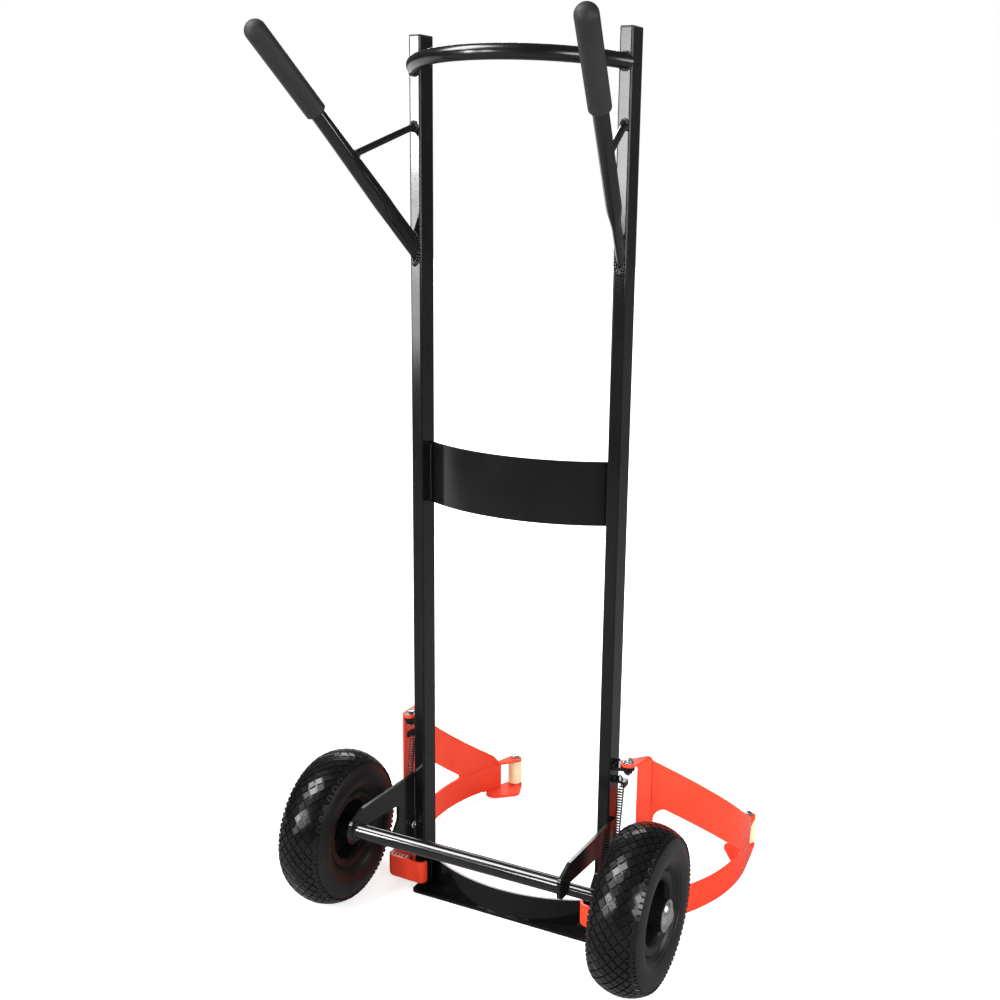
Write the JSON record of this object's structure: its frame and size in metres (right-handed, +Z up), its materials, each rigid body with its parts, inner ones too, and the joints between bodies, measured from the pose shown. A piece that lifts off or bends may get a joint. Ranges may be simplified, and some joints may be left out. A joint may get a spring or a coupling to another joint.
{
  "type": "tire trolley",
  "caption": "Tall two-wheeled hand trolley with sloping grips and sprung swing-out arms that curve round a standing tyre and lift it on end rollers.",
  "frame": {"origin": "on the floor under the base plate, on the mid-plane and on the uprights' centre plane", "axes": "+X to the right of the person who pushes it, +Y ahead towards the arms, +Z up"},
  "size_m": [0.652, 0.7348, 1.407],
  "materials": {
    "frame_paint": "gloss black",
    "arm_paint": "gloss red-orange",
    "zinc": "zinc plated",
    "grip_rubber": "matte charcoal",
    "cap_plastic": "matte",
    "tyre": "moulded",
    "roller_nylon": "natural nylon"
  },
  "bodies": {
    "frame": {"left_upright": "frame_paint", "left_upright_cap": "cap_plastic", "left_handle": "frame_paint", "left_grip": "grip_rubber", "left_brace": "frame_paint", "left_side_plate": "frame_paint", "left_hinge_lug": "frame_paint", "left_hinge_bolt": "zinc", "left_hinge_nut": "frame_paint", "left_hinge_pin": "zinc", "left_spring_anchor": "frame_paint", "left_spring_stop": "frame_paint", "left_long_spring": "zinc", "right_upright": "frame_paint", "right_upright_cap": "cap_plastic", "right_handle": "frame_paint", "right_grip": "grip_rubber", "right_brace": "frame_paint", "right_side_plate": "frame_paint", "right_hinge_lug": "frame_paint", "right_hinge_bolt": "zinc", "right_hinge_nut": "frame_paint", "right_hinge_pin": "zinc", "right_spring_anchor": "frame_paint", "right_spring_stop": "frame_paint", "right_long_spring": "zinc", "top_bow": "frame_paint", "back_plate": "frame_paint", "low_wall": "frame_paint", "base_plate": "frame_paint", "foot_tube": "frame_paint", "axle": "frame_paint", "axle_fittings": "zinc"},
    "left_wheel": {"left_tyre": "tyre", "left_rim": "frame_paint", "left_bearings": "zinc", "left_dust_cap": "zinc"},
    "left_arm": {"left_arm_plate": "arm_paint", "left_hinge_plate": "arm_paint", "left_tail": "arm_paint", "left_tongue": "arm_paint", "left_roller_lug": "arm_paint", "left_roller_bolt": "zinc", "left_roller_washer": "zinc", "left_tail_spring": "zinc"},
    "left_roller_body": {"left_roller": "roller_nylon"},
    "right_wheel": {"right_tyre": "tyre", "right_rim": "frame_paint", "right_bearings": "zinc", "right_dust_cap": "zinc"},
    "right_arm": {"right_arm_plate": "arm_paint", "right_hinge_plate": "arm_paint", "right_tail": "arm_paint", "right_tongue": "arm_paint", "right_roller_lug": "arm_paint", "right_roller_bolt": "zinc", "right_roller_washer": "zinc", "right_tail_spring": "zinc"},
    "right_roller_body": {"right_roller": "roller_nylon"}
  },
  "joints": [
    {"name": "left_wheel_spin", "type": "hinge", "parent": "frame", "child": "left_wheel", "pos_m": [-0.274, -0.114, 0.13], "axis": [1, 0, 0], "continuous": true},
    {"name": "right_wheel_spin", "type": "hinge", "parent": "frame", "child": "right_wheel", "pos_m": [0.274, -0.114, 0.13], "axis": [1, 0, 0], "continuous": true},
    {"name": "left_arm_swing", "type": "hinge", "parent": "frame", "child": "left_arm", "pos_m": [-0.201, 0.004, 0.16], "axis": [0, 0, 1], "range_deg": [-6, 19]},
    {"name": "right_arm_swing", "type": "hinge", "parent": "frame", "child": "right_arm", "pos_m": [0.201, 0.004, 0.16], "axis": [0, 0, -1], "range_deg": [-21, 4]},
    {"name": "left_roller_spin", "type": "hinge", "parent": "left_arm", "child": "left_roller_body", "pos_m": [-0.19339, 0.39397, 0.034], "axis": [0, 0, 1], "continuous": true},
    {"name": "right_roller_spin", "type": "hinge", "parent": "right_arm", "child": "right_roller_body", "pos_m": [0.29458, 0.38266, 0.034], "axis": [0, 0, 1], "continuous": true}
  ]
}
